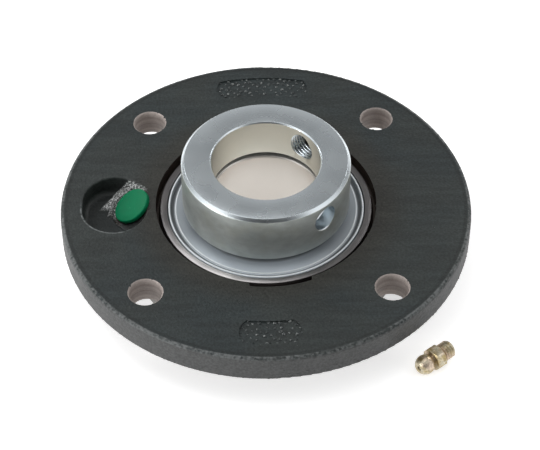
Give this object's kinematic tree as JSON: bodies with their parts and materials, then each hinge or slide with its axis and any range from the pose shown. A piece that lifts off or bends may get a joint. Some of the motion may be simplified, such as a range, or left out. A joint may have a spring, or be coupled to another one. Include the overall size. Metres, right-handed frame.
{
  "type": "flange bearing",
  "caption": "Round cast flange with a spherical seat for a sealed ball bearing insert, an eccentric locking collar for the shaft, a lubrication plug and a loose grease nipple.",
  "frame": {"origin": "on the shaft axis, in the plane of the flange's mounting face", "axes": "+Z along the shaft axis towards the locking collar, lubrication pocket on the -X side"},
  "size_m": [0.135, 0.135, 0.0415],
  "materials": {
    "painted_iron": "dark grey-green paint over sand-cast iron, satin",
    "ring_steel": "hardened bearing steel, ground",
    "ball_steel": "polished bearing steel",
    "cage_steel": "pressed bright steel sheet",
    "zinc_sheet": "bluish zinc plating on pressed sheet steel",
    "zinc_collar": "bluish zinc plating on turned steel",
    "seal_rubber": "matt nitrile rubber",
    "black_steel": "black oxide on hardened steel",
    "green_plastic": "moulded green polyethylene, semi-gloss",
    "yellow_brass": "bright yellow metal, turned"
  },
  "bodies": {
    "housing": {"flange_housing": "painted_iron", "nipple_body": "yellow_brass", "nipple_spring": "cage_steel"},
    "insert": {"outer_ring": "ring_steel", "front_seal_washer": "zinc_sheet", "front_seal_lip": "seal_rubber", "front_seal_backing": "zinc_sheet", "rear_seal_washer": "zinc_sheet", "rear_seal_lip": "seal_rubber", "rear_seal_backing": "zinc_sheet"},
    "shaft_ring": {"inner_ring": "ring_steel"},
    "cage": {"cage_front_half": "cage_steel", "cage_rear_half": "cage_steel", "cage_rivets": "cage_steel"},
    "collar": {"locking_collar": "zinc_collar"},
    "screw": {"set_screw": "black_steel"},
    "plug": {"lube_plug": "green_plastic"},
    "check_ball": {"nipple_check_ball": "ball_steel"},
    "ball_1": {"ball_1": "ball_steel"},
    "ball_2": {"ball_2": "ball_steel"},
    "ball_3": {"ball_3": "ball_steel"},
    "ball_4": {"ball_4": "ball_steel"},
    "ball_5": {"ball_5": "ball_steel"},
    "ball_6": {"ball_6": "ball_steel"},
    "ball_7": {"ball_7": "ball_steel"},
    "ball_8": {"ball_8": "ball_steel"},
    "ball_9": {"ball_9": "ball_steel"}
  },
  "joints": [
    {"name": "self_align", "type": "hinge", "parent": "housing", "child": "insert", "pos_m": [0, 0, -0.0015], "axis": [1, 0, 0], "range_deg": [-2.5, 2.5]},
    {"name": "shaft_spin", "type": "hinge", "parent": "insert", "child": "shaft_ring", "pos_m": [0, 0, -0.0015], "axis": [0, 0, 1], "continuous": true},
    {"name": "cage_spin", "type": "hinge", "parent": "insert", "child": "cage", "pos_m": [0, 0, -0.0015], "axis": [0, 0, 1], "continuous": true},
    {"name": "collar_lock", "type": "hinge", "parent": "shaft_ring", "child": "collar", "pos_m": [0, 0, 0.0132], "axis": [0, 0, 1], "range_deg": [-25, 25]},
    {"name": "set_screw_drive", "type": "slide", "parent": "collar", "child": "screw", "axis": [-0.6947, -0.7193, 0], "range_m": [-0.004, 0.0042]},
    {"name": "plug_pull", "type": "slide", "parent": "housing", "child": "plug", "axis": [-0.521, -0.0695, 0.8507], "range_m": [0, 0.014]},
    {"name": "check_ball_press", "type": "slide", "parent": "housing", "child": "check_ball", "axis": [0.7859, 0.6184, 0], "range_m": [0, 0.0007], "stiffness_N_per_m": 100, "springref_m": -0.0004, "deforming": ["nipple_spring"]},
    {"name": "ball_1_roll", "type": "hinge", "parent": "cage", "child": "ball_1", "pos_m": [0.02675, 0, -0.0015], "axis": [0, 0, 1], "continuous": true},
    {"name": "ball_2_roll", "type": "hinge", "parent": "cage", "child": "ball_2", "pos_m": [0.02049, 0.01719, -0.0015], "axis": [0, 0, 1], "continuous": true},
    {"name": "ball_3_roll", "type": "hinge", "parent": "cage", "child": "ball_3", "pos_m": [0.00465, 0.02634, -0.0015], "axis": [0, 0, 1], "continuous": true},
    {"name": "ball_4_roll", "type": "hinge", "parent": "cage", "child": "ball_4", "pos_m": [-0.01337, 0.02317, -0.0015], "axis": [0, 0, 1], "continuous": true},
    {"name": "ball_5_roll", "type": "hinge", "parent": "cage", "child": "ball_5", "pos_m": [-0.02514, 0.00915, -0.0015], "axis": [0, 0, 1], "continuous": true},
    {"name": "ball_6_roll", "type": "hinge", "parent": "cage", "child": "ball_6", "pos_m": [-0.02514, -0.00915, -0.0015], "axis": [0, 0, 1], "continuous": true},
    {"name": "ball_7_roll", "type": "hinge", "parent": "cage", "child": "ball_7", "pos_m": [-0.01337, -0.02317, -0.0015], "axis": [0, 0, 1], "continuous": true},
    {"name": "ball_8_roll", "type": "hinge", "parent": "cage", "child": "ball_8", "pos_m": [0.00465, -0.02634, -0.0015], "axis": [0, 0, 1], "continuous": true},
    {"name": "ball_9_roll", "type": "hinge", "parent": "cage", "child": "ball_9", "pos_m": [0.02049, -0.01719, -0.0015], "axis": [0, 0, 1], "continuous": true}
  ],
  "couplings": [
    {"joint": "cage_spin", "follows": "shaft_spin", "ratio": 0.39615},
    {"joint": "ball_1_roll", "follows": "shaft_spin", "ratio": -2.3035},
    {"joint": "ball_2_roll", "follows": "shaft_spin", "ratio": -2.3035},
    {"joint": "ball_3_roll", "follows": "shaft_spin", "ratio": -2.3035},
    {"joint": "ball_4_roll", "follows": "shaft_spin", "ratio": -2.3035},
    {"joint": "ball_5_roll", "follows": "shaft_spin", "ratio": -2.3035},
    {"joint": "ball_6_roll", "follows": "shaft_spin", "ratio": -2.3035},
    {"joint": "ball_7_roll", "follows": "shaft_spin", "ratio": -2.3035},
    {"joint": "ball_8_roll", "follows": "shaft_spin", "ratio": -2.3035},
    {"joint": "ball_9_roll", "follows": "shaft_spin", "ratio": -2.3035}
  ]
}
